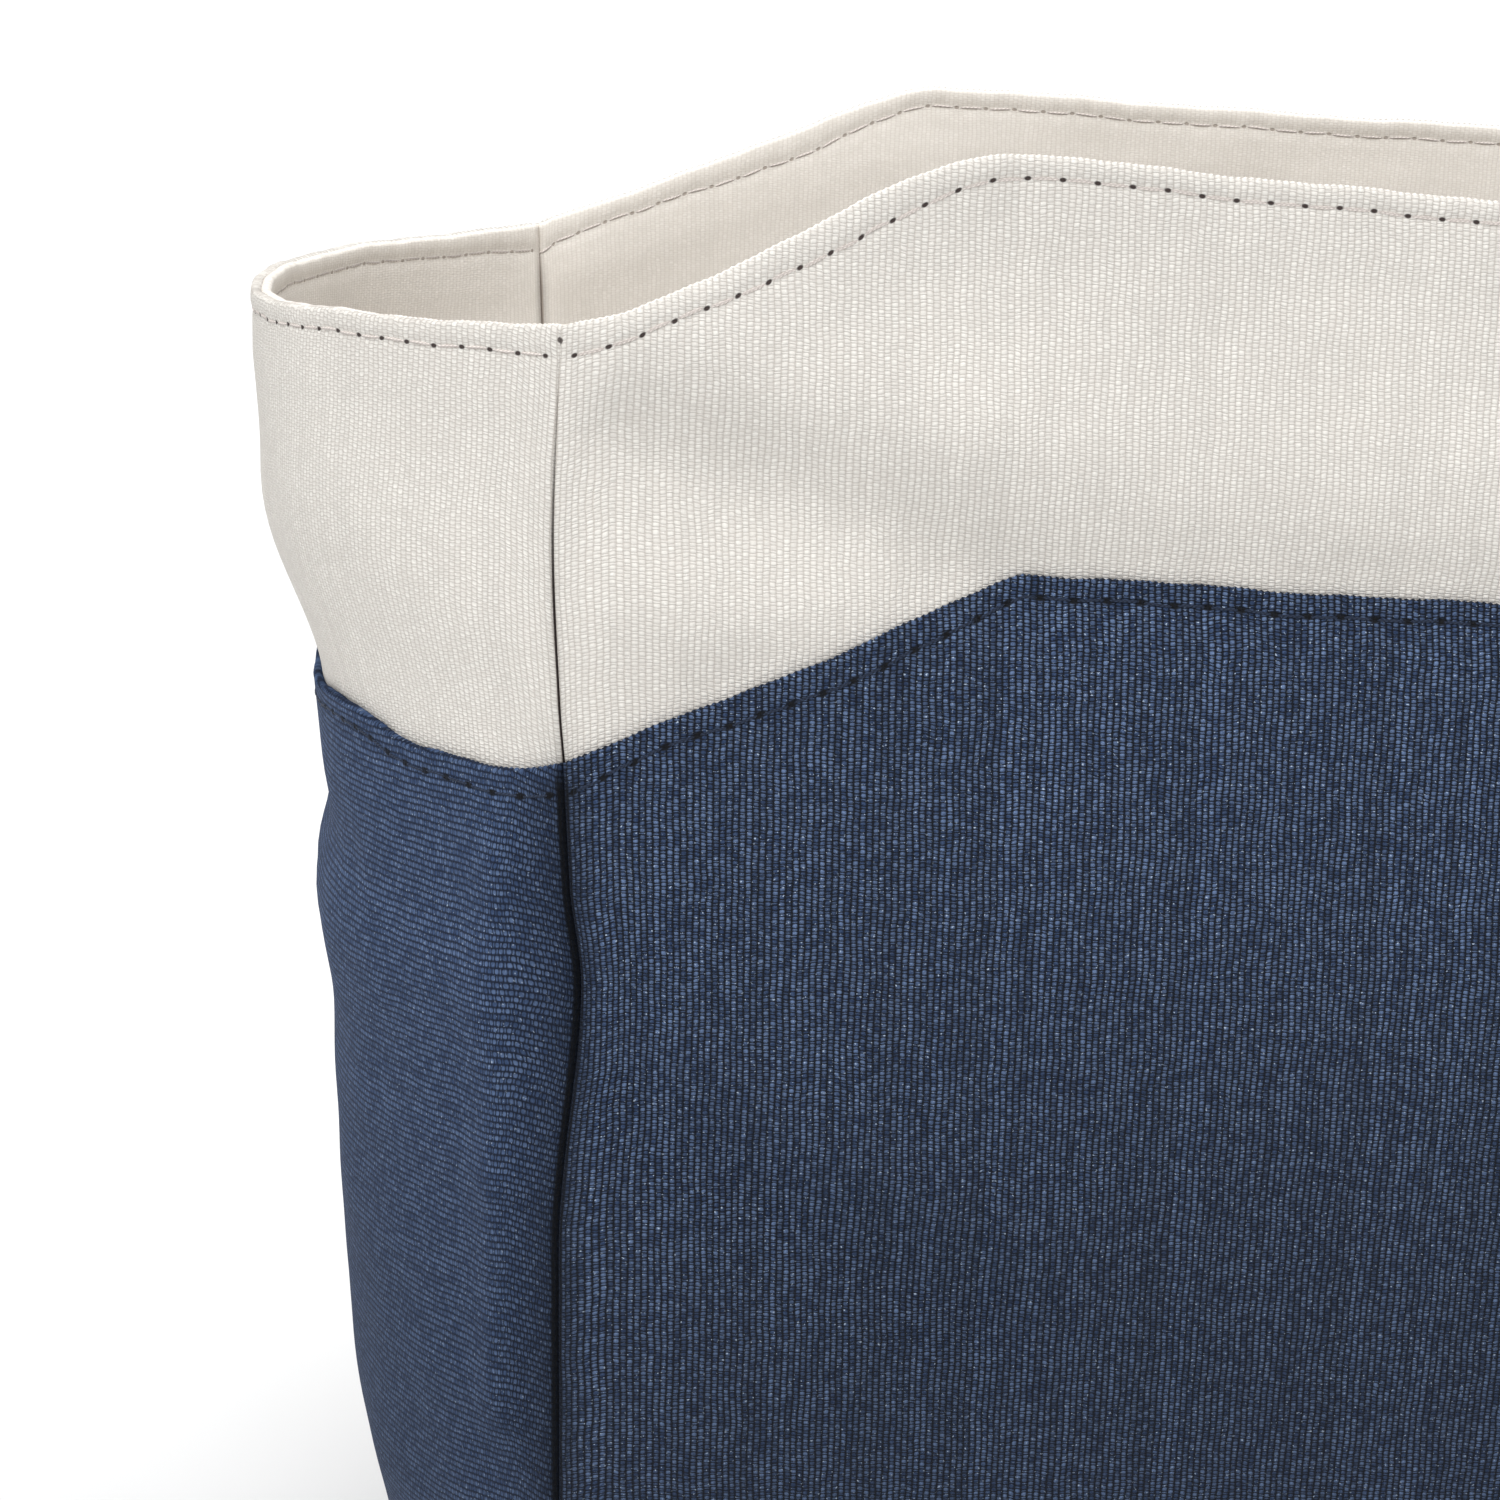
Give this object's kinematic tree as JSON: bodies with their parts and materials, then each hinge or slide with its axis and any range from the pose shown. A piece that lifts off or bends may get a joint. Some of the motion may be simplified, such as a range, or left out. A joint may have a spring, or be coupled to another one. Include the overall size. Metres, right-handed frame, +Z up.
{
  "type": "fabric storage bin",
  "caption": "Soft open-topped canvas storage bin with a cream band and lining, a navy lower skin, raised front and back rims, bulging ends and a loose base pad.",
  "frame": {"origin": "middle of the underside, on the surface that the bin stands on", "axes": "+Z up, +X along the bin's width to the right, -Y towards the front wall"},
  "size_m": [0.3528, 0.1188, 0.214],
  "materials": {
    "navy_canvas": "plain-weave cotton canvas, navy melange",
    "cream_canvas": "plain-weave cotton canvas, natural cream",
    "lining_canvas": "plain-weave cotton canvas, natural cream",
    "navy_thread": "twisted polyester sewing thread, navy",
    "cream_thread": "twisted polyester sewing thread, cream",
    "pad_cloth": "plain-weave cotton canvas, natural cream",
    "greyboard": "uncoated grey pulp board"
  },
  "bodies": {
    "bin": {"outer_front_panel": "navy_canvas", "outer_back_panel": "navy_canvas", "outer_left_panel": "navy_canvas", "outer_right_panel": "navy_canvas", "outer_base": "navy_canvas", "band_front": "cream_canvas", "band_back": "cream_canvas", "band_left": "cream_canvas", "band_right": "cream_canvas", "lining_front": "lining_canvas", "lining_back": "lining_canvas", "lining_left": "lining_canvas", "lining_right": "lining_canvas", "lining_base": "lining_canvas", "hem_stitching_front": "navy_thread", "hem_stitching_back": "navy_thread", "hem_stitching_left": "navy_thread", "hem_stitching_right": "navy_thread", "rim_stitching_front": "cream_thread", "rim_stitching_back": "cream_thread", "rim_stitching_left": "cream_thread", "rim_stitching_right": "cream_thread"},
    "base_pad": {"base_board": "greyboard", "pad_sleeve_top": "pad_cloth", "pad_sleeve_bottom": "pad_cloth"}
  },
  "joints": [
    {"name": "pad_lift", "type": "slide", "parent": "bin", "child": "base_pad", "axis": [0, 0, 1], "range_m": [0, 0.24]}
  ]
}
